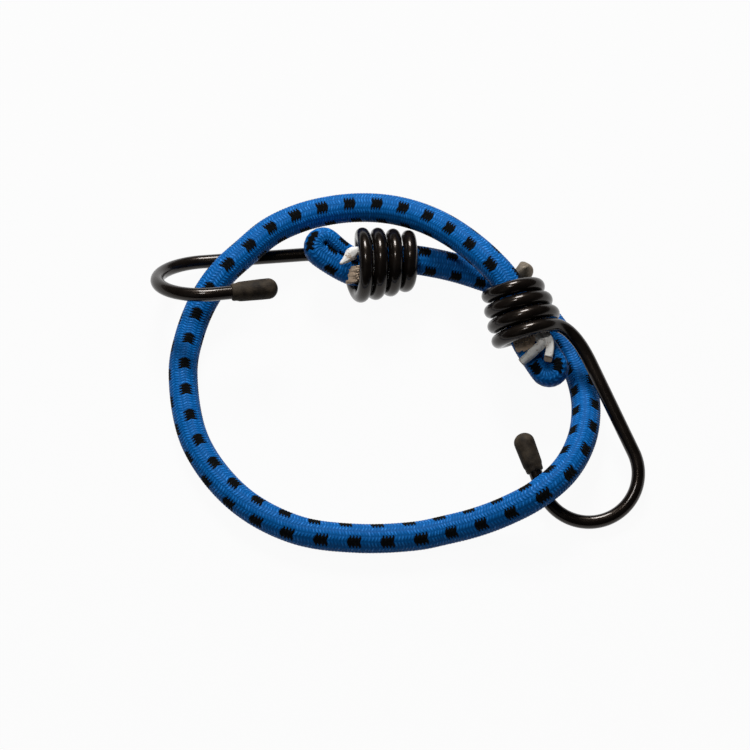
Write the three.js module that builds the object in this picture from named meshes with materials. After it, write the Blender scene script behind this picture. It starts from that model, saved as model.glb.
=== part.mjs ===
// Bungee cord: a rubber core of seven strands in a woven cover, with a bent wire hook gripped on
// each end. The cord lies in one and a quarter turns on a table, with each hook over its own cord.
// Millimetres, +Z up. The table is z = 0, and the origin is midway between the two hooks on it.
import * as THREE from 'three';

// Cord
const CORD_D = 8;               // outside of the woven cover
const COVER_WALL = 0.55;        // thickness of the woven cover
const CORE_GAP = 0.28;          // between the cover and the rubber
const STRAND_GAP = 0.3;         // between neighbouring strands
const STRAND_RING = 6;          // strands round the middle one
const STRAND_T = 1.85;          // strand thickness, measured outwards
const CORD_SIDES = 12;
const CORD_STEP = 10;           // length of cord between two sections
const UNTWIST_STEPS = 3;        // sections over which the cord turns from a coil's side to flat

// Hook wire and its coil
const WIRE_D = 3.7;
const WIRE_SIDES = 8;
const COIL_TURNS = 3.95;
const COIL_PITCH = 4.2;
const COIL_MOUTH_ID = 13.1;     // inside the widest turn
const COIL_SWELL = 1.7;         // how fast the coil opens out from its narrow end
const GRIP_GAP = 0.3;           // between the coil's narrow turn and the cord
const STEPS_PER_TURN = 24;
const COIL_LEAVE_DEG = 50;      // where the wire leaves the coil for the shank
const WIRE_CUT_TAPER = 0.6;     // width left at the sheared end of the wire
const WIRE_END_RISE = 3.4;      // the sheared end stands out this far past the coil
const WIRE_END_DEG = 60;        // and turns out over this much of the last turn
const TURN_OUT_PULL = 0.42;     // roundness of the turn from the coil to the shank
const TURN_OUT_STEPS = 9;

// Hook beyond the coil, in the plane of the hook
const BEND_R = 13.5;            // to the middle of the wire
const BEND_REACH = 40.4;        // coil mouth to the centre of the bend
const BEND_OFFSET = 2;          // centre of the bend from the coil's axis, towards the shank
const SHANK_SPLAY_DEG = 5;
const SHANK_START = 12;         // where the shank is straight, from the coil mouth
const TIP_LEG = 16.5;           // straight leg from the bend to the end of the tip cap
const BEND_STEPS = 20;

// Soft cap on the tip
const CAP_D = 5.7;
const CAP_LENGTH = 12;
const CAP_END = 1.6;            // thickness past the end of the wire
const CAP_FIT = 0.2;
const CAP_SIDES = 16;
const CAP_ROUND_STEPS = 4;

// Fold of cord that is wedged in the coil's mouth
const LEG_SQUEEZE = 0.65;       // width left of a leg, across the fold
const LEG_FLAT = 0.975;         // width left of a leg, along the crease
const LEG_GAP = 0.5;            // between the two legs
const LEG_SINK = 0.9;           // legs sit this far off the axis, to make room for the strands
const FOLD_REACH = 9.5;         // coil mouth to the centre of the fold
const FOLD_STEPS = 9;
const WEDGE = [                 // from round to wedged: share of the coil's length from its mouth
  { back: 0.72, shift: 0.15, squeeze: 0.2 },
  { back: 0.48, shift: 0.5, squeeze: 0.6 },
  { back: 0.28, shift: 1, squeeze: 1 },
];
const TAIL_DEPTH = 3.5;         // cut end of the cord, inside the coil mouth
const PEEL_R = 1.5;             // turn of a strand that is peeled back out of the mouth
const PEEL_SIZE = 0.75;         // size of a peeled strand, against one in the cord
const PEEL_STEPS = 6;
const PEEL_LATE = 3;            // the strand moves across late in its turn
const PEEL_LEAN_HALFWAY = 0.33; // share of its lean at half the length that stands out

// Where the hooks lie: coil mouth, heading of the coil's axis, its dip, and the roll of the hook
const HOOK_A = { at: [-11.9, 32.6, 10.4], heading: 189.3, dip: -5.9, roll: 224.2, side: 110, lean: -37 };
const HOOK_B = { at: [36.2, 8.1, 15.8], heading: -69, dip: 15, roll: 4, side: 10, lean: 12 };

// Route of the cord from one coil to the other, along its middle
const LIE = CORD_D / 2 * Math.cos(Math.PI / CORD_SIDES);
const ROUTE = [
  [14.6, 34.7, 5.6],
  [22.8, 32.8, LIE],
  [31.5, 28.8, LIE],
  [37.6, 23.4, LIE],
  [42.6, 17, LIE],
  [46.9, 9.8, LIE],
  [50.2, 1.5, LIE],
  [51.5, -7.6, LIE + 1.2],
  [50, -19.8, LIE + 5],
  [45.1, -30.4, LIE + 8],
  [37.6, -37.4, LIE + 8.3],
  [29.4, -40.7, LIE + 5.2],
  [21.2, -42.7, LIE + 2.2],
  [13, -44.1, LIE + 0.3],
  [5.1, -45.7, LIE],
  [-10.7, -46.4, LIE],
  [-27.4, -43.8, LIE],
  [-43.1, -34.4, LIE],
  [-54.8, -17.6, LIE],
  [-58.3, 3.5, LIE],
  [-56.7, 13.9, LIE + 0.6],
  [-53.2, 22.8, LIE + 3],
  [-48, 30.3, LIE + 5.6],
  [-41.3, 37, LIE + 6.2],
  [-34.5, 43.2, LIE + 6.2],
  [-26.6, 47.2, LIE + 6.4],
  [-18.4, 49.2, LIE + 7],
  [-10.2, 49.6, LIE + 8],
  [-2.3, 48.4, LIE + 9.4],
  [5.1, 45.6, LIE + 11.2],
  [12, 41.4, LIE + 13.2],
  [18.7, 35.6, LIE + 15.4],
  [24.6, 28.6, LIE + 16.8],
];

// Strand peeled back out of each coil mouth: which strand of the ring, where it comes out across
// and along the crease, how far it stands out, and how far its end leans across
const PEEL_A = { strand: 1, across: 1.4, up: 4.3, out: 3.4, lean: -1.2 };
const PEEL_B = { strand: 1, across: 1.3, up: 4.3, out: 5.6, lean: -0.6 };

const degrees = THREE.MathUtils.degToRad;
const WIRE_R = WIRE_D / 2;
const CORD_R = CORD_D / 2;
const COIL_LENGTH = COIL_TURNS * COIL_PITCH;
const COIL_NARROW_R = CORD_R + GRIP_GAP + WIRE_R;
const COIL_MOUTH_R = COIL_MOUTH_ID / 2 + WIRE_R;

// A closed body from rings of points, with flat ends. A second set of rings makes it a tube.
function loft(rings, bore) {
  const points = [];
  const faces = [];
  const sides = rings[0].length;
  const skin = (list, outward) => {
    const first = points.length;
    list.flat().forEach((point) => points.push(point));
    for (let k = 0; k + 1 < list.length; k++) {
      for (let i = 0; i < sides; i++) {
        const a = first + k * sides + i;
        const b = first + k * sides + (i + 1) % sides;
        const quad = outward ? [a, b, b + sides, a, b + sides, a + sides]
          : [a, b + sides, b, a, a + sides, b + sides];
        faces.push(...quad);
      }
    }
    return first;
  };
  const outer = skin(rings, true);
  const end = (rings.length - 1) * sides;
  if (bore) {
    const inner = skin(bore, false);
    for (let i = 0; i < sides; i++) {
      const j = (i + 1) % sides;
      faces.push(outer + i, inner + i, inner + j, outer + i, inner + j, outer + j);
      faces.push(outer + end + i, outer + end + j, inner + end + j);
      faces.push(outer + end + i, inner + end + j, inner + end + i);
    }
  } else {
    for (let i = 1; i + 1 < sides; i++) {
      faces.push(outer, outer + i + 1, outer + i);
      faces.push(outer + end, outer + end + i, outer + end + i + 1);
    }
  }
  const geometry = new THREE.BufferGeometry();
  geometry.setAttribute('position', new THREE.Float32BufferAttribute(
    points.flatMap((point) => point.toArray()), 3));
  geometry.setIndex(faces);
  return geometry;
}

// Regular polygon with a flat side down
function polygon(sides, radius) {
  return Array.from({ length: sides }, (_, i) => {
    const angle = (i + 0.5) / sides * 2 * Math.PI - Math.PI / 2;
    return [radius * Math.cos(angle), radius * Math.sin(angle)];
  });
}

// A ring of points: a flat outline set on a section of the path
function ringOn(section, outline) {
  return outline.map(([u, v]) => section.at.clone()
    .addScaledVector(section.across, u * section.wide)
    .addScaledVector(section.up, v * section.high));
}

// Sections along a list of points, each square to the path, with up near the wanted direction
function sectionsAlong(points, ups, wides, highs) {
  return points.map((at, i) => {
    const ahead = points[Math.min(i + 1, points.length - 1)];
    const along = ahead.clone().sub(points[Math.max(i - 1, 0)]).normalize();
    const up = ups[i].clone().addScaledVector(along, -ups[i].dot(along)).normalize();
    return { at, up, across: up.clone().cross(along), wide: wides[i], high: highs[i] };
  });
}

// Hook wire

// Middle of the wire in the coil, at an angle counted from the side that the shank leaves by.
// x runs along the coil's axis, from its narrow end out past its mouth at x = 0.
function coilPoint(angle) {
  const x = COIL_PITCH * angle / (2 * Math.PI);
  const part = THREE.MathUtils.clamp(1 + x / COIL_LENGTH, 0, 1);
  const radius = COIL_MOUTH_R - (COIL_MOUTH_R - COIL_NARROW_R) * (1 - part) ** COIL_SWELL;
  const rise = Math.max(0, 1 - (angle / (2 * Math.PI) + COIL_TURNS) * 360 / WIRE_END_DEG);
  return new THREE.Vector3(x - WIRE_END_RISE * rise ** 2, radius * Math.cos(angle), -radius * Math.sin(angle));
}

// The bend's end of the shank, and the straight line that the shank follows back to the coil
const SPLAY = degrees(SHANK_SPLAY_DEG);
const SHANK_LINE = new THREE.Vector3(Math.cos(SPLAY), Math.sin(SPLAY), 0);
const BEND_CENTRE = new THREE.Vector3(BEND_REACH, BEND_OFFSET, 0);

function bendPoint(angle) {
  return new THREE.Vector3(Math.cos(angle), Math.sin(angle), 0).multiplyScalar(BEND_R).add(BEND_CENTRE);
}

const TIP_START = bendPoint(-Math.PI / 2);
const TIP_END = TIP_START.clone().setX(TIP_START.x - TIP_LEG);

function wirePath() {
  const points = [];
  const coilStart = -COIL_TURNS * 2 * Math.PI;
  const coilEnd = -degrees(90 - COIL_LEAVE_DEG);
  const coilSteps = Math.round(STEPS_PER_TURN * (coilEnd - coilStart) / (2 * Math.PI));
  for (let i = 0; i <= coilSteps; i++) {
    points.push(coilPoint(coilStart + (coilEnd - coilStart) * i / coilSteps));
  }
  const bendStart = bendPoint(Math.PI / 2 + SPLAY);
  const leave = points.at(-1);
  const leaveAlong = leave.clone().sub(points.at(-2)).normalize();
  const shankFrom = bendStart.clone()
    .addScaledVector(SHANK_LINE, (SHANK_START - bendStart.x) / SHANK_LINE.x);
  const pull = leave.distanceTo(shankFrom) * TURN_OUT_PULL;
  const turnOut = new THREE.CubicBezierCurve3(leave, leave.clone().addScaledVector(leaveAlong, pull),
    shankFrom.clone().addScaledVector(SHANK_LINE, -pull), shankFrom);
  points.push(...turnOut.getSpacedPoints(TURN_OUT_STEPS).slice(1));
  for (let i = 0; i <= BEND_STEPS; i++) {
    points.push(bendPoint(Math.PI / 2 + SPLAY - (Math.PI + SPLAY) * i / BEND_STEPS));
  }
  points.push(TIP_END.clone().setX(TIP_END.x + CAP_END));
  return points;
}

// Least clear space between neighbouring turns of a coil, along the middle of its wire
function coilGap(path) {
  let least = Infinity;
  const turns = path.slice(0, Math.round(COIL_TURNS * STEPS_PER_TURN));
  turns.forEach((point, i) => turns.slice(i + STEPS_PER_TURN / 2).forEach((other) => {
    least = Math.min(least, point.distanceTo(other));
  }));
  return least - WIRE_D;
}

// The wire's sections turn as little as they can from one to the next. The flat sides lie in the
// plane of the hook by the time the wire reaches the bend.
function hookWire() {
  const path = wirePath();
  const ups = [];
  let up = new THREE.Vector3(0, 0, 1);
  for (let i = path.length - 1; i >= 0; i--) {
    const along = path[Math.min(i + 1, path.length - 1)].clone().sub(path[Math.max(i - 1, 0)]).normalize();
    up = up.clone().addScaledVector(along, -up.dot(along)).normalize();
    ups.unshift(up);
  }
  const widths = path.map((_, i) => (i === 0 ? WIRE_CUT_TAPER : 1));
  const outline = polygon(WIRE_SIDES, WIRE_R);
  return loft(sectionsAlong(path, ups, widths, widths).map((section) => ringOn(section, outline)));
}

// A thimble that is turned about its own axis, with its round end at y = 0 and its mouth below
function tipCap() {
  const bore = (WIRE_R + CAP_FIT) / Math.cos(Math.PI / CAP_SIDES);
  const round = CAP_D / 2;
  const profile = [];
  for (let i = 0; i <= CAP_ROUND_STEPS; i++) {
    const angle = Math.PI / 2 * (1 - i / CAP_ROUND_STEPS);
    profile.push(new THREE.Vector2(i === 0 ? 0 : round * Math.cos(angle), round * Math.sin(angle) - round));
  }
  profile.push(new THREE.Vector2(round, -CAP_LENGTH));
  profile.push(new THREE.Vector2(bore, -CAP_LENGTH));
  profile.push(new THREE.Vector2(bore, -CAP_END + CAP_FIT));
  profile.push(new THREE.Vector2(0, -CAP_END + CAP_FIT));
  return new THREE.LatheGeometry(profile.reverse(), CAP_SIDES);
}

// Gripped ends of the cord

// Turns a point of a coil's own frame (along its axis, across the fold, up out of the crease)
// into the object's frame
function gripFrame(hook) {
  const turn = new THREE.Matrix4().makeRotationFromEuler(
    new THREE.Euler(degrees(hook.roll), degrees(hook.dip), degrees(hook.heading), 'ZYX'));
  const side = new THREE.Matrix4().makeRotationX(degrees(hook.side));
  return turn.multiply(side).setPosition(...hook.at);
}

const LEG_ACROSS = (CORD_D * LEG_SQUEEZE + LEG_GAP) / 2;

// Middle of the cord from the coil's narrow end, out of the mouth, round the fold and back to its
// cut end. squeeze goes from 0, round, to 1, wedged beside the other leg.
function gripPath(hook) {
  const lean = degrees(hook.lean);
  const out = new THREE.Vector2(Math.cos(lean), Math.sin(lean));
  const centre = out.clone().multiplyScalar(FOLD_REACH);
  const line = [
    { x: -COIL_LENGTH - CORD_R, across: 0, sink: 0, squeeze: 0 },
    { x: -COIL_LENGTH, across: 0, sink: 0, squeeze: 0 },
    ...WEDGE.map(({ back, shift, squeeze }) => (
      { x: -COIL_LENGTH * back, across: -LEG_ACROSS * shift, sink: shift, squeeze })),
    { x: 0, across: -LEG_ACROSS, sink: 1, squeeze: 1 },
  ];
  for (let i = 0; i <= FOLD_STEPS; i++) {
    const turn = Math.PI * i / FOLD_STEPS;
    const back = LEG_ACROSS * Math.cos(turn);
    const round = LEG_ACROSS * Math.sin(turn);
    line.push({
      x: centre.x + out.y * back + out.x * round,
      across: centre.y - out.x * back + out.y * round,
      sink: 1,
      squeeze: 1,
    });
  }
  line.push({ x: 0, across: LEG_ACROSS, sink: 1, squeeze: 1 });
  line.push({ x: -TAIL_DEPTH, across: LEG_ACROSS, sink: 1, squeeze: 1 });
  return line;
}

function gripSections(hook) {
  const frame = gripFrame(hook);
  const line = gripPath(hook);
  const up = new THREE.Vector3().setFromMatrixColumn(frame, 2);
  return {
    points: line.map((p) => new THREE.Vector3(p.x, p.across, -LEG_SINK * p.sink).applyMatrix4(frame)),
    ups: line.map(() => up),
    wides: line.map((p) => 1 - (1 - LEG_SQUEEZE) * p.squeeze),
    highs: line.map((p) => 1 - (1 - LEG_FLAT) * p.squeeze),
  };
}

// Sections of the whole cord, from one cut end to the other
function cordSections() {
  const a = gripSections(HOOK_A);
  const b = gripSections(HOOK_B);
  const free = new THREE.CatmullRomCurve3([a.points[1], a.points[0],
    ...ROUTE.map((point) => new THREE.Vector3(...point)), b.points[0], b.points[1]], false, 'centripetal');
  const steps = Math.round(free.getLength() / CORD_STEP);
  const lying = free.getSpacedPoints(steps).slice(2, -2);
  lying.forEach((point) => point.setZ(Math.max(point.z, LIE)));
  const above = new THREE.Vector3(0, 0, 1);
  const ones = lying.map(() => 1);
  const untwist = lying.map((_, i) => {
    const nearest = Math.min(i, lying.length - 1 - i);
    const grip = (i === nearest ? a : b).ups[0];
    return grip.clone().lerp(above, Math.min((nearest + 1) / UNTWIST_STEPS, 1));
  });
  const joined = (name, middle) => [...a[name].slice().reverse(), ...middle, ...b[name]];
  const sections = sectionsAlong(joined('points', lying), joined('ups', untwist),
    joined('wides', ones), joined('highs', ones));
  return { sections, length: free.getLength() };
}

// Rubber strands

const BORE_R = CORD_R - COVER_WALL;
const RING_OUTER_R = BORE_R * Math.cos(Math.PI / CORD_SIDES) - CORE_GAP;
const RING_INNER_R = RING_OUTER_R - STRAND_T;

// One strand of the ring, cut like a slice with flat sides
function ringOutline(index) {
  const middle = (index + 0.5) / STRAND_RING * 2 * Math.PI;
  const corner = (radius, way) => {
    const angle = middle + way * (Math.PI / STRAND_RING - STRAND_GAP / 2 / radius);
    return [radius * Math.cos(angle), radius * Math.sin(angle)];
  };
  return [corner(RING_OUTER_R, -1), corner(RING_OUTER_R, 1), corner(RING_INNER_R, 1), corner(RING_INNER_R, -1)];
}

function middleOutline() {
  const flat = RING_INNER_R * Math.cos(Math.PI / STRAND_RING) - STRAND_GAP;
  return polygon(STRAND_RING, flat);
}

// Rings of a strand that leaves the cord's cut end, turns back and comes out of the coil mouth.
// way is 1 at the end that the cord runs to, and -1 at the end that it starts from.
function peelRings(hook, peel, last, way) {
  const frame = gripFrame(hook);
  const outline = ringOutline(peel.strand);
  const middle = [0, 1].map((k) => outline.reduce((sum, point) => sum + point[k], 0) / outline.length);
  const start = ringOn(last, [middle])[0].applyMatrix4(frame.clone().invert());
  const points = [start];
  for (let i = 1; i <= PEEL_STEPS; i++) {
    const turn = Math.PI * i / PEEL_STEPS;
    points.push(new THREE.Vector3(
      start.x - PEEL_SIZE - PEEL_R * Math.sin(turn),
      THREE.MathUtils.lerp(start.y, peel.across, (i / PEEL_STEPS) ** PEEL_LATE),
      THREE.MathUtils.lerp(start.z, peel.up, (1 - Math.cos(turn)) / 2)));
  }
  points.push(new THREE.Vector3(-TAIL_DEPTH / 2, peel.across, peel.up));
  points.push(new THREE.Vector3(peel.out / 2, peel.across + peel.lean * PEEL_LEAN_HALFWAY, peel.up));
  points.push(new THREE.Vector3(peel.out, peel.across + peel.lean, peel.up));
  const upright = Math.PI / 2 - Math.atan2(middle[1], middle[0]);
  return points.map((at, i) => {
    const ahead = points[Math.min(i + 1, points.length - 1)];
    const along = ahead.clone().sub(points[Math.max(i - 1, 0)]).normalize().multiplyScalar(way);
    const across = new THREE.Vector3(0, -way, 0).addScaledVector(along, way * along.y).normalize();
    const up = along.clone().cross(across);
    const free = Math.min(i / PEEL_STEPS, 1);
    const wide = THREE.MathUtils.lerp(last.wide, PEEL_SIZE, free);
    const high = THREE.MathUtils.lerp(last.high, PEEL_SIZE, free);
    return outline.map((corner) => {
      const spun = new THREE.Vector2(...corner).sub(new THREE.Vector2(...middle))
        .rotateAround(new THREE.Vector2(), upright * free);
      return at.clone().addScaledVector(across, spun.x * wide).addScaledVector(up, spun.y * high)
        .applyMatrix4(frame);
    });
  }).slice(1);
}

// Assembly

const WOVEN = { color: 0x0b4fb3, roughness: 0.75, metalness: 0 };
const RUBBER = { color: 0xcfc9bd, roughness: 0.9, metalness: 0 };
const BLACK_WIRE = { color: 0x15120f, roughness: 0.3, metalness: 0.2 };
const SOFT_CAP = { color: 0x1d1814, roughness: 0.7, metalness: 0 };

const bungee = new THREE.Group();

function addPiece(group, name, geometry, look) {
  const mesh = new THREE.Mesh(geometry, new THREE.MeshStandardMaterial(look));
  mesh.name = name;
  group.add(mesh);
  return mesh;
}

const cord = cordSections();
const onCord = (outline) => cord.sections.map((section) => ringOn(section, outline));
const outside = onCord(polygon(CORD_SIDES, CORD_R));
const inside = onCord(polygon(CORD_SIDES, BORE_R));
addPiece(bungee, 'cord_cover', loft(outside, inside), WOVEN);
addPiece(bungee, 'core_strand_middle', loft(onCord(middleOutline())), RUBBER);
for (let i = 0; i < STRAND_RING; i++) {
  const rings = onCord(ringOutline(i));
  if (i === PEEL_A.strand) {
    rings.unshift(...peelRings(HOOK_A, PEEL_A, cord.sections[0], -1).reverse());
  }
  if (i === PEEL_B.strand) {
    rings.push(...peelRings(HOOK_B, PEEL_B, cord.sections.at(-1), 1));
  }
  addPiece(bungee, `core_strand_${i + 1}`, loft(rings), RUBBER);
}

for (const [letter, place] of [['a', HOOK_A], ['b', HOOK_B]]) {
  const hook = new THREE.Group();
  hook.position.set(...place.at);
  hook.rotation.set(degrees(place.roll), degrees(place.dip), degrees(place.heading), 'ZYX');
  addPiece(hook, `hook_wire_${letter}`, hookWire(), BLACK_WIRE);
  const cap = addPiece(hook, `tip_cap_${letter}`, tipCap(), SOFT_CAP);
  cap.position.copy(TIP_END);
  cap.rotation.z = Math.PI / 2;
  bungee.add(hook);
}

console.log(`free cord ${cord.length.toFixed(0)} mm, ${cord.sections.length} sections`);
console.log(`least gap between turns of a coil ${coilGap(wirePath()).toFixed(2)} mm`);

export default bungee;
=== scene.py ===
"""Bungee cord on a white table: woven blue cover over talc-dusted rubber, black wire hooks."""
from math import cos, pi, radians, sin

import bpy
import numpy as np
from mathutils import Matrix, Vector


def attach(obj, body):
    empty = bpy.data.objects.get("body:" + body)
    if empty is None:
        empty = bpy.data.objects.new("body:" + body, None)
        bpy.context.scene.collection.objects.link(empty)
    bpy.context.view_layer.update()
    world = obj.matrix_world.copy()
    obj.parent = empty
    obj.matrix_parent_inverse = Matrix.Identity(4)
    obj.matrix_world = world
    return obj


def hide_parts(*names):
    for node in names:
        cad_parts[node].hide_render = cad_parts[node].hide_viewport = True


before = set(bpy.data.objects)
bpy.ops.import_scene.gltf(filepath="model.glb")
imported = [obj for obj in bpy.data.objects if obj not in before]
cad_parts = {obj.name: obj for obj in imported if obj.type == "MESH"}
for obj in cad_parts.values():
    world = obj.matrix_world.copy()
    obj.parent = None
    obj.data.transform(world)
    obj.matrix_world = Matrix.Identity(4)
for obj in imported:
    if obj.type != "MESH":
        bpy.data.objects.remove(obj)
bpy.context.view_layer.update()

MM = 0.001  # lengths below are in millimetres, and meshes are in metres

# Camera: the photograph's view, from far away on a long lens
VIEW_ELEVATION = radians(64.54)
VIEW_TARGET = Vector((-0.00595, 0.00445, 0.0))
VIEW_WIDTH = 0.2049
VIEW_DISTANCE = 3.0
SENSOR = 36.0

# Studio: a soft key lamp from behind, a small one overhead and a faint fill, in metres and watts
TABLE_HALF, TABLE_TOP = 3.0, -0.0003
ROOM_COLOUR, ROOM_LIGHT = (0.9, 0.95, 1.0, 1), 0.03
LIGHTS = (
    ("key", (-0.1, 0.8, 0.85), 0.35, 15.5),
    ("overhead", (-0.22, 0.05, 1.1), 0.16, 3.2),
    ("fill", (-0.6, -0.7, 0.9), 0.8, 0.2),
)

# Cord
CORD_D = 8.0
CORD_R = CORD_D / 2
COVER_WALL = 0.55
CORE_GAP = 0.28
STRAND_GAP = 0.3
STRAND_RING = 6
STRAND_T = 1.85
CORD_SIDES = 12       # of the plain solid that the cord lies on
UNTWIST = 30.0        # length over which the cord turns from a coil's side to flat

# Hook wire and its coil
WIRE_D = 3.7
WIRE_R = WIRE_D / 2
COIL_TURNS = 3.95
COIL_PITCH = 4.2
COIL_MOUTH_R = 13.1 / 2 + WIRE_R
COIL_NARROW_R = CORD_R + 0.3 + WIRE_R
COIL_SWELL = 1.7
COIL_LENGTH = COIL_TURNS * COIL_PITCH
COIL_LEAVE = radians(50)
WIRE_END_TURN = 60 / 360
SHEAR_LENGTH = 4.4
SHEAR_SPREAD = 2.5    # how far the shears spread the wire's end
SHEAR_TAPER = 0.5
SHEAR_THIN = 0.15
SHEAR_BARE = 1.4      # how far the bare steel reaches, in lengths of the sheared end
TURN_OUT_PULL = 0.42
COIL_WIRE = 185.0     # length of wire in the coil
COIL_FILL = 0.05      # the coating all but closes the coil
COIL_FADE = 8.0
WIRE_SIDES = 28
WIRE_STEP = 0.5
BEND_R = 13.5
BEND_CENTRE = np.array((40.4, 2.0, 0.0))
SHANK_SPLAY = radians(5)
SHANK_START = 12.0
TIP_LEG = 16.5

# Soft cap on the tip
CAP_R = 2.85
CAP_END = 1.6
CAP_BORE_R = WIRE_R + 0.05
CAP_ROUND = 0.92      # depth of the rounded end, against its radius
# Side of the cap: in from its mouth, and its width there against its widest
CAP_SIDE = ((8.0, 1.0), (2.6, 0.95), (2.0, 0.93), (1.6, 0.88),
            (1.2, 0.85), (0.5, 0.84), (0.15, 0.8), (0, 0.74))
CAP_LIP = ((0.05, 0.1), (0.4, 0.0))  # in from the mouth, and how much wider than the bore
CAP_POINTS = 40

# Fold of cord wedged in a coil's mouth
FOLD_HALF = 5.45      # half the width of both legs together
LEG_FLAT = 0.975
TAIL_WIDTH = 0.65     # of the strands in the cut end, against their width in the cord
LEG_SINK = 0.9
SQUARENESS = 0.5      # how far a wedged leg fills out its corners
FOLD_PRESS = 0.2      # how far the legs press into each other
FOLD_REACH = 9.5
FOLD_STEPS = 9
TAIL_DEPTH = 3.5
WEDGE = ((0.72, 0.15, 0.2), (0.48, 0.5, 0.6), (0.28, 1.0, 1.0))
PEEL_R = 1.5
PEEL_SIZE = 0.75
PEEL_STEPS = 14
PEEL_LATE = 3
STRAND_STEP = 0.4     # between the rings of a strand outside the cover
PEEL_TAPER = 5.0
PEEL_TUCK = 0.5       # width of a peeled strand while it is in the coil
PEEL_OPEN = (-0.9, 0.9)  # where it opens out
LOOSE_WIDTH = 2.2
LOOSE_THICKNESS = 1.4
LOOSE_SLANT = 1.3
LOOSE_TURN = 3.0      # length over which it turns flat, out of the coil
CORE_RIBBONS = 9
CORE_STEP = 0.5
CORE_TALL = 1.6
CORE_REACH = 5.6      # furthest that a ribbon's end is from the coil's axis
CORE_UNEVEN = 0.12
CORE_WAVE = 2.4
CORE_EDGE = 0.3       # how far the outermost ribbons come, against the middle one
CORE_LAP = 1.12       # ribbons overlap by this
CORE_SLANT = 1.9
# A ribbon inside the coil: along, share of its way out, and furthest from the axis
CORE_INSIDE = ((-5.0, 0.7, 4.4), (-2.0, 0.9, 5.1), (-0.4, 1.0, 5.4))
CORE_BARE = 9         # rings of a ribbon that show no talc

# Braid: short slanted stitches in rows along the cord, which lean to and fro from row to row
STITCH = 0.79         # along the cord
STITCH_ROWS = 16      # round the cord
STITCH_SLANT = 0.6    # lean of a stitch over its row, in stitches
STITCH_RELIEF = 0.085
RINGS_PER_STITCH = 4
FINE_STEPS = 8        # to a stitch, while the stitches are spaced out along the cord
POINTS_PER_ROW = 6
RINGS_PER_STRAND_RING = 6  # the strands inside have fewer rings than the cover
TRACER_PERIOD = 10.0  # stitches from one black block to the next
TRACER_BLOCK = 4      # stitches in a block
TRACER_HALF = 1.0     # half the width of a block, in rows
TRACER_TOOTH = 0.6    # depth of the teeth along its sides, in rows
TRACER_COLUMNS = 4    # rows of blocks round the cord
BLOCK_ROWS = STITCH_ROWS / TRACER_COLUMNS
TRACER_START = 1.0    # stitches by which the blocks lie further along
SLACK = 0.12          # how much longer the stitches are on the near arc
SLACK_FROM, SLACK_SPAN = 15.0, 30.0
TWIST_AT = (165.0, 212.0)  # stretch, from the first coil, over which the cord twists
TWIST_DEG = (27.0, -14.5)

# The two hooks. A hook lies with its coil's mouth at a place, turned by heading, dip and roll.
# The fold in it is turned to a side and leans, and its legs share the mouth unevenly.
# Paths of strands run along the coil's axis, across the fold and up out of its crease.
HOOKS = {
    "a": {
        "at": (-11.9, 32.6, 10.4), "heading": 189.3, "dip": -5.9, "roll": 224.2,
        "side": 110, "lean": -37, "entry": 0.0, "first_leg": 2.1, "end_rise": 0.8, "end_bare": 0.0,
        "cap_ends": (-0.8, 12.0),
        "peel": {"strand": 1, "across": -3.6, "up": 3.7, "wide": 1.65, "high": 0.45, "tip": 0.15},
        "peeled": [(-2.5, -3.5, 3.7), (-0.9, -4.0, 4.1), (0.7, -3.3, 4.6), (2.5, -1.9, 4.7),
                   (4.3, -0.8, 4.5)],
        "loose": [],
        "core_at": (3.0, 4.2), "core_half": 2.9, "core_out": 0.8,
    },
    "b": {
        "at": (36.2, 8.1, 15.8), "heading": -69, "dip": 15, "roll": 4,
        "side": 10, "lean": 12, "entry": -0.5, "first_leg": 2.725, "end_rise": 3.4, "end_bare": 1.0,
        "cap_ends": (0.0, 11.2),
        "peel": {"strand": 1, "across": 1.3, "up": 4.3, "wide": 1.05, "high": 0.7, "tip": 0.85},
        "peeled": [(-1.7, 2.2, 4.1), (1.2, 2.6, 4.2), (2.9, 3.2, 4.6), (4.4, 0.4, 4.8),
                   (6.2, -4.3, 4.6)],
        "loose": [(-3.0, 4.0, 2.9), (0.6, 4.4, 3.3), (3.0, 5.0, 4.1), (5.6, 4.3, 4.5),
                  (7.7, 3.0, 4.5)],
        "core_at": (-1.6, 4.3), "core_half": 3.4, "core_out": 1.9,
    },
}

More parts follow.
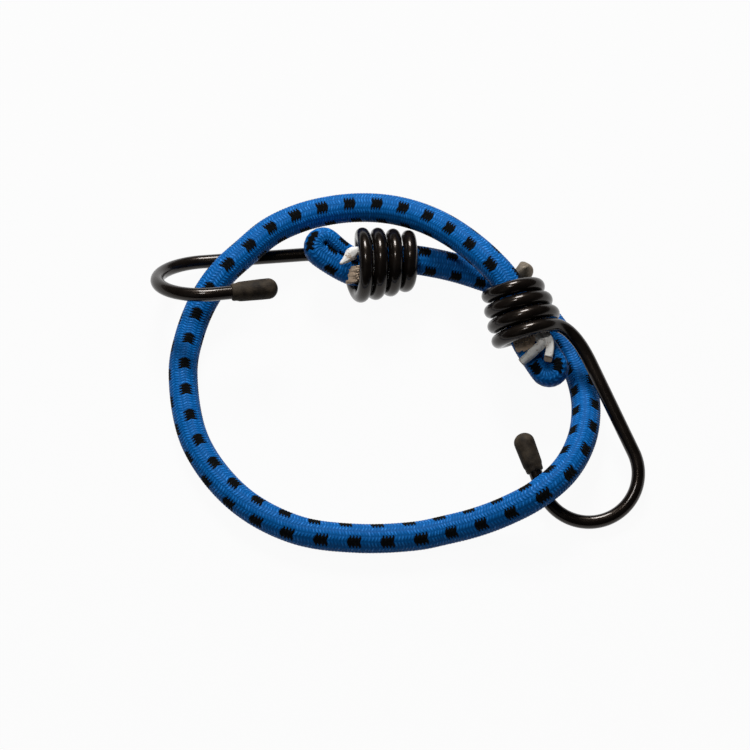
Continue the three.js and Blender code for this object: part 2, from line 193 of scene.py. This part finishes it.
# Route of the cord from one coil to the other, along its middle
LIE = CORD_R * cos(pi / CORD_SIDES) * MM
ROUTE = [
    (0.0146, 0.0347, 0.0056),
    (0.0228, 0.0328, LIE),
    (0.0315, 0.0288, LIE),
    (0.0376, 0.0234, LIE),
    (0.0426, 0.0170, LIE),
    (0.0469, 0.0098, LIE),
    (0.0502, 0.0015, LIE),
    (0.0515, -0.0076, LIE + 0.0012),
    (0.0500, -0.0198, LIE + 0.0050),
    (0.0451, -0.0304, LIE + 0.0080),
    (0.0376, -0.0374, LIE + 0.0083),
    (0.0294, -0.0407, LIE + 0.0052),
    (0.0212, -0.0427, LIE + 0.0022),
    (0.0130, -0.0441, LIE + 0.0003),
    (0.0051, -0.0457, LIE),
    (-0.0107, -0.0464, LIE),
    (-0.0274, -0.0438, LIE),
    (-0.0431, -0.0344, LIE),
    (-0.0548, -0.0176, LIE),
    (-0.0583, 0.0035, LIE),
    (-0.0567, 0.0139, LIE + 0.0006),
    (-0.0532, 0.0228, LIE + 0.0030),
    (-0.0480, 0.0303, LIE + 0.0056),
    (-0.0413, 0.0370, LIE + 0.0062),
    (-0.0345, 0.0432, LIE + 0.0062),
    (-0.0266, 0.0472, LIE + 0.0064),
    (-0.0184, 0.0492, LIE + 0.0070),
    (-0.0102, 0.0496, LIE + 0.0080),
    (-0.0023, 0.0484, LIE + 0.0094),
    (0.0051, 0.0456, LIE + 0.0112),
    (0.0120, 0.0414, LIE + 0.0132),
    (0.0187, 0.0356, LIE + 0.0154),
    (0.0249, 0.0291, LIE + 0.0168),
]


# Lines and meshes

RIBBON = np.array([(-1, -0.6), (-0.75, -1), (0.75, -1), (1, -0.6),
                   (1, 0.6), (0.75, 1), (-0.75, 1), (-1, 0.6)])


def smooth_line(points, per_span=24):
    """A centripetal Catmull-Rom line through points, which may carry more than three numbers."""
    points = np.asarray(points, float)
    ends = np.vstack([2 * points[0] - points[1], points, 2 * points[-1] - points[-2]])
    knots = np.concatenate([[0], np.cumsum(np.linalg.norm(np.diff(ends, axis=0), axis=1) ** 0.5)])
    line = [points[0]]
    for k in range(1, len(ends) - 2):
        p, t = ends[k - 1:k + 3], knots[k - 1:k + 3]
        u = np.linspace(t[1], t[2], per_span + 1)[1:, None]
        a = [((t[i + 1] - u) * p[i] + (u - t[i]) * p[i + 1]) / (t[i + 1] - t[i]) for i in range(3)]
        b = [((t[i + 2] - u) * a[i] + (u - t[i]) * a[i + 1]) / (t[i + 2] - t[i]) for i in range(2)]
        line.extend(((t[2] - u) * b[0] + (u - t[1]) * b[1]) / (t[2] - t[1]))
    return np.array(line)


def arc_length(line):
    return np.concatenate([[0], np.cumsum(np.linalg.norm(np.diff(line[:, :3], axis=0), axis=1))])


def even_line(line, step):
    """The line with points an even step apart."""
    s = arc_length(line)
    wanted = np.linspace(0, s[-1], max(2, round(s[-1] / step)) + 1)
    return np.stack([np.interp(wanted, s, column) for column in line.T], 1)


def unit(vectors):
    return vectors / np.linalg.norm(vectors, axis=-1, keepdims=True)


def sections(line, ups):
    """Two directions across the line at each of its points: level with up, and up."""
    along = unit(np.gradient(line, axis=0))
    up = unit(ups - (ups * along).sum(1, keepdims=True) * along)
    return np.cross(up, along), up


def carried_ups(line, start):
    """Directions square to the line that turn as little as they can along it."""
    along = unit(np.gradient(line, axis=0))
    ups = [np.asarray(start, float)]
    for t in along:
        ups.append(unit(ups[-1] - ups[-1].dot(t) * t))
    return np.array(ups[1:])


def rings_on(line, across, up, outline):
    """Rings of points from an outline (u, v), which may differ from ring to ring."""
    outline = np.broadcast_to(outline, (len(line),) + np.shape(outline)[-2:])
    return (line[:, None] + outline[..., :1] * across[:, None] + outline[..., 1:] * up[:, None])


def circle(points, radius=1.0):
    angle = np.arange(points) / points * 2 * pi
    return np.stack([np.cos(angle), np.sin(angle)], 1) * radius


def placed(matrix, points):
    m = np.array(matrix)
    return np.asarray(points, float) @ m[:3, :3].T + m[:3, 3]


def tube(name, rings, uv=None, marks=None):
    """A closed smooth mesh from rings of points in millimetres, with a flat face at each end."""
    count, sides = rings.shape[:2]
    a = np.arange((count - 1) * sides)
    b = a - a % sides + (a % sides + 1) % sides
    quads = np.stack([a, b, b + sides, a + sides], 1)
    mesh = bpy.data.meshes.new(name)
    ends = [tuple(range(sides))[::-1], tuple(range((count - 1) * sides, count * sides))]
    mesh.from_pydata((rings.reshape(-1, 3) * MM).tolist(), [], quads.tolist() + ends)
    mesh.polygons.foreach_set("use_smooth", [True] * len(quads) + [False, False])
    if uv is not None:
        along, around = uv
        column = a % sides
        k = a // sides
        corners = np.stack([
            np.stack([along[k], around[column]], 1), np.stack([along[k], around[column + 1]], 1),
            np.stack([along[k + 1], around[column + 1]], 1), np.stack([along[k + 1], around[column]], 1),
        ], 1).reshape(-1, 2)
        flat = [np.stack([np.full(sides, along[i]), around[:sides]], 1) for i in (0, -1)]
        layer = mesh.uv_layers.new(name="stitches")
        layer.data.foreach_set("uv", np.concatenate([corners, *flat]).ravel())
    for mark, values in (marks or {}).items():
        attribute = mesh.attributes.new(mark, "FLOAT", "POINT")
        attribute.data.foreach_set("value", np.repeat(np.asarray(values, float), sides))
    mesh.validate()
    piece = bpy.data.objects.new(name, mesh)
    bpy.context.scene.collection.objects.link(piece)
    return piece


# Finishes


class Value:
    """An output of a finish's nodes. Arithmetic on it adds Math nodes."""

    def __init__(self, finish, socket):
        self.finish = finish
        self.socket = socket

    def math(self, operation, *values):
        return self.finish.node("ShaderNodeMath", {"operation": operation}, dict(enumerate(values)))

    def __add__(self, other):
        return self.math("ADD", self, other)

    def __sub__(self, other):
        return self.math("SUBTRACT", self, other)

    def __rsub__(self, other):
        return self.math("SUBTRACT", other, self)

    def __mul__(self, other):
        return self.math("MULTIPLY", self, other)

    def __truediv__(self, other):
        return self.math("DIVIDE", self, other)

    def __pow__(self, other):
        return self.math("POWER", self, other)

    def __mod__(self, other):
        return self.math("FLOORED_MODULO", self, other)

    def __lt__(self, other):
        return self.math("LESS_THAN", self, other)

    __radd__ = __add__
    __rmul__ = __mul__

    def floor(self):
        return self.math("FLOOR", self)

    def sine(self):
        return self.math("SINE", self)


class Finish:
    """A material whose nodes are written as expressions."""

    def __init__(self, name, **constants):
        self.material = bpy.data.materials.new(name)
        self.material.use_nodes = True
        self.tree = self.material.node_tree
        self.shader = self.tree.nodes["Principled BSDF"]
        for socket, value in constants.items():
            self.put(self.shader.inputs[socket.replace("_", " ")], value)

    def put(self, socket, value):
        if isinstance(value, Value):
            self.tree.links.new(value.socket, socket)
        elif value is not None:
            socket.default_value = value

    def node(self, kind, settings=None, inputs=None, output=0):
        made = self.tree.nodes.new(kind)
        for name, value in (settings or {}).items():
            setattr(made, name, value)
        for socket, value in (inputs or {}).items():
            self.put(made.inputs[socket], value)
        return Value(self, made.outputs[output])

    def mix(self, share, low, high):
        return self.node("ShaderNodeMix", {"data_type": "RGBA"}, {0: share, 6: low, 7: high}, 2)

    def noise(self, scale, detail=3.0, vector=None):
        vector = vector or self.node("ShaderNodeTexCoord", output="Object")
        return self.node("ShaderNodeTexNoise", None, {"Vector": vector, "Scale": scale, "Detail": detail})

    def ramp(self, value, low, high):
        return self.node("ShaderNodeMapRange", {"clamp": True},
                         {"Value": value, "From Min": low, "From Max": high})

    def mark(self, name):
        return self.node("ShaderNodeAttribute", {"attribute_name": name}, output="Fac")

    def bump(self, height, distance, strength=1.0):
        return self.node("ShaderNodeBump", None,
                         {"Height": height, "Distance": distance, "Strength": strength})

    def show(self, **sockets):
        for socket, value in sockets.items():
            self.put(self.shader.inputs[socket.replace("_", " ")], value)
        return self.material


# Cover colours: the crest colours are painted highlights on the stitches; the groove colour is painted
# shade between them, also used for random darker patches.
BLUE = (0.0, 0.105, 0.36, 1)
BLUE_CREST_HIGHLIGHT = (0.02, 0.21, 0.64, 1)
BLUE_GROOVE_SHADE_AND_MOTTLE = (0.0, 0.08, 0.28, 1)
BLACK_YARN = (0.001, 0.0015, 0.002, 1)
BLACK_CREST_HIGHLIGHT = (0.004, 0.005, 0.006, 1)


def woven_finish():
    """Blue yarn with black blocks, a few stitches long and two rows wide, with toothed sides; painted
    highlight on the stitch crests and painted shade in the grooves.
    """
    f = Finish("woven_cover", Specular_IOR_Level=0.09)
    place = f.node("ShaderNodeUVMap", {"uv_map": "stitches"})
    along = f.node("ShaderNodeSeparateXYZ", None, {0: place})
    row = f.node("ShaderNodeSeparateXYZ", None, {0: place}, 1)
    across = row % 1.0
    lean = 1 - 2 * (row.floor() % 2.0)
    place_in = along - lean * (across - 0.5) * STITCH_SLANT
    bead = 0.5 + 0.5 * ((place_in + 0.25) * (2 * pi)).sine()
    crown = (across * pi).sine() ** 0.5
    height = bead * crown
    column = ((row + 1.0) / BLOCK_ROWS).floor()
    beside = (row + 1.0) % BLOCK_ROWS - BLOCK_ROWS / 2
    toothed = beside.math("ABSOLUTE", beside) < TRACER_HALF + TRACER_TOOTH * (bead - 0.5)
    number = (place_in + 0.5 - TRACER_START).floor() - column * (TRACER_PERIOD / TRACER_COLUMNS)
    black = toothed * (number % TRACER_PERIOD < TRACER_BLOCK - 0.1)
    fibre = f.noise(1.0, 2.0, f.node("ShaderNodeCombineXYZ", None, {0: place_in * 9.0, 1: row * 1.5}))
    each = f.node("ShaderNodeCombineXYZ", None, {0: (place_in + 0.5).floor(), 1: row.floor()})
    chance = f.node("ShaderNodeTexWhiteNoise", {"noise_dimensions": "2D"}, {"Vector": each})
    patch = f.noise(90.0, 2.0)
    # crest: the highest part of each stitch, varied at random from stitch to stitch; it places the
    # painted highlight and the glossier yarn.
    crest = f.ramp(height + (fibre - 0.5) * 0.4 + (chance - 0.5) * 0.6, 0.62, 1.12)
    # Painted shade darkens the grooves and painted highlight lightens the crests, on blue and black yarn
    # alike.
    blue = f.mix(crest, f.mix(f.ramp(height, 0.0, 0.5), BLUE_GROOVE_SHADE_AND_MOTTLE, BLUE), BLUE_CREST_HIGHLIGHT)
    dark = f.mix(crest, BLACK_YARN, BLACK_CREST_HIGHLIGHT)
    colour = f.mix(black, blue, dark)
    # Random darker patches over the cover, in the groove shade colour.
    tone = f.mix(f.ramp(patch, 0.35, 0.75) * 0.35, colour, f.mix(black, BLUE_GROOVE_SHADE_AND_MOTTLE, BLACK_YARN))
    bump = f.bump(height + fibre * 0.35 + chance * 0.2, 0.00012, 0.6)
    rough = 0.56 - crest * 0.22 + (fibre - 0.5) * 0.15 + black * 0.35
    return f.show(Base_Color=tone, Roughness=rough, Normal=bump)


def rubber_finish():
    """Tan rubber under white talc, with bare tan where it was cut."""
    f = Finish("core_rubber", Specular_IOR_Level=0.3)
    grain = f.noise(420.0, 5.0)
    speck = f.noise(1500.0, 3.0)
    talc = f.ramp(grain * 0.45 + speck * 0.55, 0.36, 0.45) * (1 - f.mark("cut"))
    rubber = f.mix(speck, (0.24, 0.16, 0.10, 1), (0.60, 0.47, 0.35, 1))
    colour = f.mix(talc, rubber, f.mix(grain, (0.66, 0.64, 0.60, 1), (0.88, 0.86, 0.82, 1)))
    return f.show(Base_Color=colour, Roughness=0.75 + talc * 0.2,
                  Normal=f.bump(grain + speck * 0.5, 0.00025, 0.7))


def wire_finish():
    """Glossy black coating on steel. The sheared end is bare."""
    f = Finish("coated_wire", Specular_IOR_Level=0.17, Specular_Tint=(1.0, 0.78, 0.62, 1),
               Coat_Roughness=0.09)
    skin = f.noise(260.0, 4.0)
    fine = f.noise(1800.0, 2.0)
    bare = f.mark("bare")
    colour = f.mix(f.ramp(skin, 0.3, 0.75), (0.003, 0.0022, 0.0018, 1), (0.007, 0.005, 0.004, 1))
    colour = f.mix(bare, colour, f.mix(fine, (0.08, 0.066, 0.048, 1), (0.28, 0.24, 0.19, 1)))
    rough = 0.26 + f.ramp(skin, 0.45, 0.8) * 0.08 + bare * 0.22
    return f.show(Base_Color=colour, Metallic=bare * 0.4, Roughness=rough, Coat_Weight=0.32 - bare * 0.32,
                  Normal=f.bump(skin, 0.00010, 0.05))


def cap_finish():
    """Soft matte plastic, slightly dusty."""
    f = Finish("soft_cap", Specular_IOR_Level=0.15)
    dust = f.noise(330.0, 4.0)
    pore = f.noise(2400.0, 2.0)
    colour = f.mix(f.ramp(dust, 0.36, 0.66), (0.012, 0.0085, 0.0055, 1), (0.052, 0.039, 0.026, 1))
    return f.show(Base_Color=colour, Roughness=0.55 + dust * 0.25,
                  Normal=f.bump(pore + dust, 0.00012, 0.5))


def table_finish():
    """White to the camera, with part of the object's shadow, and grey in what it gives back."""
    f = Finish("white_table", Base_Color=(0.4, 0.4, 0.4, 1), Roughness=0.9, Specular_IOR_Level=0.0)
    sight = f.node("ShaderNodeLightPath", output="Is Camera Ray")
    shine = f.node("ShaderNodeLightPath", output="Is Glossy Ray")
    through = f.node("ShaderNodeLightPath", output="Is Transmission Ray")
    white = f.node("ShaderNodeEmission", None, {"Color": (1, 1, 1, 1), "Strength": 1.0})
    seen = sight.math("MINIMUM", sight * 0.95 + shine + through, 1.0)
    lit = Value(f, f.shader.outputs[0])
    mixed = f.node("ShaderNodeMixShader", None, {0: seen, 1: lit, 2: white})
    f.put(f.tree.nodes["Material Output"].inputs["Surface"], mixed)
    return f.material


# Cord


def hook_frame(hook):
    turned = Matrix.Translation(hook["at"])
    for angle, axis in (("heading", "Z"), ("dip", "Y"), ("roll", "X")):
        turned = turned @ Matrix.Rotation(radians(hook[angle]), 4, axis)
    return turned


def grip_frame(hook):
    """The coil's frame, turned so that y is across the fold and z is up out of its crease."""
    return hook_frame(hook) @ Matrix.Rotation(radians(hook["side"]), 4, "X")


def grip_line(hook):
    """From the coil's narrow end round the fold to the cut end.

    Each row is along, across, sink, squeeze and half width.
    """
    lean = radians(hook["lean"])
    out = np.array((cos(lean), sin(lean)))
    side = np.array((-out[1], out[0]))
    first = hook["first_leg"]
    second = FOLD_HALF - first
    off, back_off = FOLD_PRESS - second, first - FOLD_PRESS
    first, second = first + FOLD_PRESS, second + FOLD_PRESS
    line = [(-COIL_LENGTH, hook["entry"], 0, 0, CORD_R)]
    for back, shift, squeeze in WEDGE:
        half = CORD_R + (first - CORD_R) * squeeze
        line.append((-COIL_LENGTH * back, off * shift, shift, squeeze, half))
    line.append((0, off, 1, 1, first))
    for turn in np.linspace(0, pi, FOLD_STEPS + 1):
        x, across = (out * (FOLD_REACH + (back_off - off) / 2 * sin(turn))
                     + side * ((off + back_off) / 2 - (back_off - off) / 2 * cos(turn)))
        line.append((x, across, 1, 1, first + (second - first) * turn / pi))
    line += [(0, back_off, 1, 1, second), (-TAIL_DEPTH, back_off, 1, 1, second)]
    return np.array(line, float)


def cord_line():
    """The whole cord, evenly: middle, half sizes, up; and where its free stretch starts and ends."""
    grips = []
    for hook in HOOKS.values():
        line = grip_line(hook)
        place = grip_frame(hook)
        middle = placed(place, np.stack([line[:, 0], line[:, 1], -LEG_SINK * line[:, 2]], 1))
        grips.append((np.column_stack([middle, line[:, 3:]]), np.array(place.col[2][:3])))
    (start, start_up), (end, end_up) = grips
    route = np.column_stack([np.array(ROUTE) / MM, np.zeros(len(ROUTE)), np.full(len(ROUTE), CORD_R)])
    fine = even_line(smooth_line(np.vstack([start[::-1], route, end])), STITCH / FINE_STEPS)
    slack = 1 + SLACK * np.clip((-fine[:, 1] - SLACK_FROM) / SLACK_SPAN, 0, 1)
    stitches = np.cumsum(1 / FINE_STEPS / slack)
    along = np.arange(stitches[0], stitches[-1], 1 / RINGS_PER_STITCH)
    line = np.stack([np.interp(along, stitches, column) for column in fine.T], 1)
    s = arc_length(line)
    first, last = [int(np.argmin(np.linalg.norm(line[:, :3] - grip[0, :3], axis=1)))
                   for grip in (start, end)]
    middle = line[:, :3].copy()
    middle[first:last, 2] = np.maximum(middle[first:last, 2], LIE / MM)
    near = np.minimum(s - s[first], s[last] - s)
    level = np.clip(near / UNTWIST, 0, 1)[:, None]
    grip_up = np.where((s < (s[first] + s[last]) / 2)[:, None], start_up, end_up)
    ups = grip_up * (1 - level) + np.array((0, 0, 1.0)) * level
    squeeze = np.clip(line[:, 3], 0, 1)
    size = np.stack([line[:, 4] / CORD_R, 1 - (1 - LEG_FLAT) * squeeze], 1)
    twist = np.radians(np.interp(s - s[first], TWIST_AT, TWIST_DEG))
    return middle, squeeze, size, ups, twist, along, s, first, last


def stitch_height(along, row):
    lean = 1 - 2 * (np.floor(row) % 2)
    across = row % 1
    bead = 0.5 + 0.5 * np.cos(2 * pi * (along - lean * (across - 0.5) * STITCH_SLANT))
    return bead * np.sin(pi * across) ** 0.5


def cover_rings(middle, squeeze, size, ups, twist, along):
    """Rings of the woven cover, with each stitch raised."""
    across, up = sections(middle, ups)
    columns = STITCH_ROWS * POINTS_PER_ROW
    around = np.arange(columns + 1) / POINTS_PER_ROW
    radius = CORD_R - STITCH_RELIEF * (1 - stitch_height(along[:, None], around[None, :columns]))
    turn = np.arange(columns) / columns * 2 * pi + twist[:, None]
    corner = 2 / (2 + SQUARENESS * squeeze[:, None])
    flat = [np.sign(part) * np.abs(part) ** corner for part in (np.cos(turn), np.sin(turn))]
    outline = np.stack([radius * part for part in flat], -1) * size[:, None]
    return rings_on(middle, across, up, outline), around


def ring_outline(index):
    """One strand of the ring, cut like a slice, with its corners rounded off."""
    outer = (CORD_R - COVER_WALL) * cos(pi / CORD_SIDES) - CORE_GAP
    inner = outer - STRAND_T
    middle = (index + 0.5) / STRAND_RING * 2 * pi
    points = []
    for radius, ways in ((outer, (-0.9, -0.45, 0, 0.45, 0.9)), (outer - 0.2, (1,)), (inner + 0.2, (1,)),
                         (inner, (0.75, 0, -0.75)), (inner + 0.2, (-1,)), (outer - 0.2, (-1,))):
        half = pi / STRAND_RING - STRAND_GAP / 2 / radius
        points += [(radius * cos(middle + way * half), radius * sin(middle + way * half)) for way in ways]
    return np.array(points)


def middle_outline():
    outer = (CORD_R - COVER_WALL) * cos(pi / CORD_SIDES) - CORE_GAP
    return circle(12, (outer - STRAND_T) * cos(pi / STRAND_RING) - STRAND_GAP)


def peel_rings(hook, outline, start_ring, way):
    """Rings of a strand that turns back from the cut end and comes out of the coil's mouth."""
    peel = hook["peel"]
    place = grip_frame(hook)
    start = placed(place.inverted(), [start_ring.mean(0)])[0]
    points = [start]
    for i in range(1, PEEL_STEPS + 1):
        turn = pi * i / PEEL_STEPS
        rise = (1 - cos(turn)) / 2
        points.append((start[0] - PEEL_SIZE - PEEL_R * sin(turn),
                       start[1] + (peel["across"] - start[1]) * (i / PEEL_STEPS) ** PEEL_LATE,
                       start[2] + (peel["up"] - start[2]) * rise))
    line = even_line(smooth_line(points + hook["peeled"], 6), STRAND_STEP)
    along = unit(np.gradient(line, axis=0)) * way
    across = unit(np.array((0, -way, 0.0)) + way * along[:, 1:2] * along)
    up = np.cross(along, across)
    middle = outline.mean(0)
    free = np.clip(arc_length(line) / (pi * PEEL_R), 0, 1)
    upright = (pi / 2 - np.arctan2(middle[1], middle[0])) * free
    local = outline - middle
    spun = np.stack([local[:, 0] * np.cos(upright)[:, None] - local[:, 1] * np.sin(upright)[:, None],
                     local[:, 0] * np.sin(upright)[:, None] + local[:, 1] * np.cos(upright)[:, None]], -1)
    taper = np.clip((arc_length(line)[-1] - arc_length(line)) / PEEL_TAPER, 0, 1)
    opened = np.interp(line[:, 0], PEEL_OPEN, (PEEL_TUCK, 1))
    wide = TAIL_WIDTH + (peel["wide"] * opened - TAIL_WIDTH) * free
    wide = wide * (peel["tip"] + (1 - peel["tip"]) * taper)
    high = LEG_FLAT + (peel["high"] - LEG_FLAT) * free
    spun = spun * np.stack([wide, high], 1)[:, None]
    rings = rings_on(line, across, up, spun)
    return placed(place, rings.reshape(-1, 3)).reshape(rings.shape)[1:]


def loose_strand(hook):
    """A strand that stands out of the coil's mouth beside the fold."""
    place = grip_frame(hook)
    line = even_line(smooth_line(hook["loose"], 8), STRAND_STEP)
    from_axis = line * (0, 1, 1)
    from_axis[:, 1] *= np.clip(1 - line[:, 0] / LOOSE_TURN, 0, 1)
    across, up = sections(line, from_axis)
    rings = rings_on(line, across, up, RIBBON * (LOOSE_WIDTH / 2, LOOSE_THICKNESS / 2))
    rings[-1] -= ((rings[-1] - line[-1]) @ up[-1])[:, None] * LOOSE_SLANT * unit(line[-1:] - line[-2])
    return placed(place, rings.reshape(-1, 3)).reshape(rings.shape)


def cut_core(hook):
    """The rest of the core where it was cut, beside the fold: a flat bundle of thin ribbons."""
    place = grip_frame(hook)
    (y, z), half = hook["core_at"], hook["core_half"]
    ribbons = []
    for k in range(CORE_RIBBONS):
        way = (2 * k + 1) / CORE_RIBBONS - 1
        tall = CORE_TALL / 2 * (1 - way * way) ** 0.4
        end = hook["core_out"] * (CORE_EDGE + (1 - CORE_EDGE) * (1 - way * way) ** 0.5)
        end += CORE_UNEVEN * sin(k * CORE_WAVE)
        out = np.array((y + way * half, z))
        out *= min(1, CORE_REACH / np.linalg.norm(out))
        radius = np.linalg.norm(out)
        line = [(x, *(out * min(share, reach / radius))) for x, share, reach in CORE_INSIDE]
        line = np.array(line + [(end, *out)])
        line = even_line(smooth_line(line, 6), CORE_STEP)
        across, up = sections(line, np.tile((0, 0, 1.0), (len(line), 1)))
        rings = rings_on(line, across, up, RIBBON * (half / CORE_RIBBONS * CORE_LAP, tall))
        rings[-1, :, 0] -= (rings[-1, :, 2] - z) * CORE_SLANT
        ribbons.append(placed(place, rings.reshape(-1, 3)).reshape(rings.shape))
    return ribbons


def make_cord():
    middle, squeeze, size, ups, twist, along, s, first, last = cord_line()
    rings, around = cover_rings(middle, squeeze, size, ups, twist, along)
    woven = woven_finish()
    stretches = {"cover_fold_a": slice(0, first + 1), "cover_free": slice(first, last + 1),
                 "cover_fold_b": slice(last, len(s))}
    for name, part in stretches.items():
        piece = tube(name, rings[part], (along[part], around))
        piece.data.materials.append(woven)
        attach(piece, "cord")
    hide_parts("cord_cover")
    path = middle[first:last + 1] * MM
    round(float(s[last] - s[first]) * MM, 3)

    rubber = rubber_finish()
    coarse = np.unique(np.append(np.arange(0, len(s), RINGS_PER_STRAND_RING), len(s) - 1))
    across, up = sections(middle, ups)
    outlines = {f"core_strand_{i + 1}": ring_outline(i) for i in range(STRAND_RING)}
    outlines["core_strand_middle"] = middle_outline()
    for node, outline in outlines.items():
        strand = rings_on(middle, across, up, outline * size[:, None])[coarse]
        if node == f"core_strand_{HOOKS['a']['peel']['strand'] + 1}":
            strand = np.concatenate([peel_rings(HOOKS["a"], outline, strand[0], -1)[::-1], strand])
            strand = np.concatenate([strand, peel_rings(HOOKS["b"], outline, strand[-1], 1)])
        cut = np.zeros(len(strand))
        cut[[0, -1]] = 1
        piece = tube(node.replace("core", "rubber"), strand, marks={"cut": cut})
        piece.data.materials.append(rubber)
        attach(piece, "cord")
        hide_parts(node)
    for letter, hook in HOOKS.items():
        ends = cut_core(hook)
        if hook["loose"]:
            ends.append(loose_strand(hook))
        for k, strand in enumerate(ends):
            cut = np.zeros(len(strand))
            cut[-1 if k >= CORE_RIBBONS else -CORE_BARE:] = 1
            piece = tube(f"cut_strand_{letter}_{k + 1}", strand, marks={"cut": cut})
            piece.data.materials.append(rubber)
            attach(piece, "cord")


# Hooks


def coil_point(angle, end_rise=0.0):
    x = COIL_PITCH * angle / (2 * pi)
    part = np.clip(1 + x / COIL_LENGTH, 0, 1)
    radius = COIL_MOUTH_R - (COIL_MOUTH_R - COIL_NARROW_R) * (1 - part) ** COIL_SWELL
    rise = np.clip(1 - (angle / (2 * pi) + COIL_TURNS) / WIRE_END_TURN, 0, 1)
    return np.stack([x - end_rise * rise ** 2, radius * np.cos(angle), -radius * np.sin(angle)], -1)


def bend_point(angle):
    return BEND_CENTRE + BEND_R * np.stack([np.cos(angle), np.sin(angle), 0 * angle], -1)


TIP_START = bend_point(np.array(-pi / 2))
TIP_END = TIP_START - np.array((TIP_LEG, 0, 0))


def wire_line(end_rise):
    coil = coil_point(np.linspace(-COIL_TURNS * 2 * pi, COIL_LEAVE - pi / 2, 300), end_rise)
    bend = bend_point(np.linspace(pi / 2 + SHANK_SPLAY, -pi / 2, 80))
    shank = np.array((cos(SHANK_SPLAY), sin(SHANK_SPLAY), 0))
    turned = bend[0] + shank * (SHANK_START - bend[0][0]) / shank[0]
    leave = unit(coil[-1] - coil[-2])
    pull = np.linalg.norm(coil[-1] - turned) * TURN_OUT_PULL
    p = [coil[-1], coil[-1] + leave * pull, turned - shank * pull, turned]
    t = np.linspace(0, 1, 40)[1:, None]
    turn_out = ((1 - t) ** 3 * p[0] + 3 * (1 - t) ** 2 * t * p[1]
                + 3 * (1 - t) * t ** 2 * p[2] + t ** 3 * p[3])
    tip = TIP_END + np.array((CAP_END, 0, 0))
    return even_line(np.vstack([coil, turn_out, bend, tip]), WIRE_STEP)


def make_wire(letter, finish):
    line = wire_line(HOOKS[letter]["end_rise"])
    ups = carried_ups(line, (1, 0, 0))
    across, up = sections(line, ups)
    s = arc_length(line)
    flat = np.clip(1 - s / SHEAR_LENGTH, 0, 1)
    coiled = np.clip((COIL_WIRE - s) / COIL_FADE, 0, 1) * COIL_FILL
    spread = 1 + coiled + SHEAR_SPREAD * flat * (1 - flat) - SHEAR_TAPER * flat ** 2
    outline = circle(WIRE_SIDES, WIRE_R) * np.stack([spread, 1 + coiled - SHEAR_THIN * flat], 1)[:, None]
    rings = rings_on(line, across, up, outline)
    rings = placed(hook_frame(HOOKS[letter]), rings.reshape(-1, 3)).reshape(rings.shape)
    bare = np.clip(SHEAR_BARE - s / SHEAR_LENGTH, 0, 1) * HOOKS[letter]["end_bare"]
    wire = tube(f"wire_{letter}", rings, marks={"bare": bare})
    wire.data.materials.append(finish)
    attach(wire, f"hook_{letter}")
    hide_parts(f"hook_wire_{letter}")


def make_cap(letter, finish):
    """A thimble with a rounded end, a small step round its mouth and a rolled lip."""
    end, mouth = HOOKS[letter]["cap_ends"]
    round_end = [(end + CAP_R * (1 - cos(a)) * CAP_ROUND, CAP_R * sin(a))
                 for a in np.linspace(0.04, pi / 2, 12)]
    body = [(mouth - back, CAP_R * share) for back, share in CAP_SIDE]
    body += [(mouth - back, CAP_BORE_R + wider) for back, wider in CAP_LIP]
    body += [(CAP_END, CAP_BORE_R), (CAP_END - 0.1, 0.1)]
    profile = np.array(round_end + body)
    line = TIP_END + profile[:, :1] * np.array((1, 0, 0))
    rings = line[:, None] + profile[:, 1:, None] * np.pad(circle(CAP_POINTS), ((0, 0), (1, 0)))
    rings = placed(hook_frame(HOOKS[letter]), rings.reshape(-1, 3)).reshape(rings.shape)
    cap = tube(f"cap_{letter}", rings)
    cap.data.materials.append(finish)
    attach(cap, f"hook_{letter}")
    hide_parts(f"tip_cap_{letter}")


# Stage


def make_camera():
    data = bpy.data.cameras.new("camera")
    data.sensor_width = SENSOR
    data.lens = SENSOR * VIEW_DISTANCE / VIEW_WIDTH
    data.clip_end = 20
    camera = bpy.data.objects.new("camera", data)
    away = Vector((0, -cos(VIEW_ELEVATION), sin(VIEW_ELEVATION)))
    camera.location = VIEW_TARGET + away * VIEW_DISTANCE
    camera.rotation_euler = (-away).to_track_quat("-Z", "Y").to_euler()
    bpy.context.scene.collection.objects.link(camera)
    bpy.context.scene.camera = camera


def make_light(name, place, size, power):
    data = bpy.data.lights.new(name, "AREA")
    data.size = size
    data.energy = power
    lamp = bpy.data.objects.new(name, data)
    lamp.location = place
    lamp.rotation_euler = (-Vector(place)).to_track_quat("-Z", "Y").to_euler()
    bpy.context.scene.collection.objects.link(lamp)


def make_stage():
    mesh = bpy.data.meshes.new("table")
    square = ((-1, -1), (1, -1), (1, 1), (-1, 1))
    corners = [(x * TABLE_HALF, y * TABLE_HALF, TABLE_TOP) for x, y in square]
    mesh.from_pydata(corners, [], [(0, 1, 2, 3)])
    mesh.materials.append(table_finish())
    table = bpy.data.objects.new("table", mesh)
    bpy.context.scene.collection.objects.link(table)
    world = bpy.data.worlds.new("studio")
    world.use_nodes = True
    background = world.node_tree.nodes["Background"]
    background.inputs["Color"].default_value = ROOM_COLOUR
    background.inputs["Strength"].default_value = ROOM_LIGHT
    bpy.context.scene.world = world
    for name, place, size, power in LIGHTS:
        make_light(name, place, size, power)


make_camera()
make_cord()
black_wire, soft_cap = wire_finish(), cap_finish()
for letter in HOOKS:
    make_wire(letter, black_wire)
    make_cap(letter, soft_cap)
make_stage()
bpy.context.scene.view_settings.view_transform = "Standard"
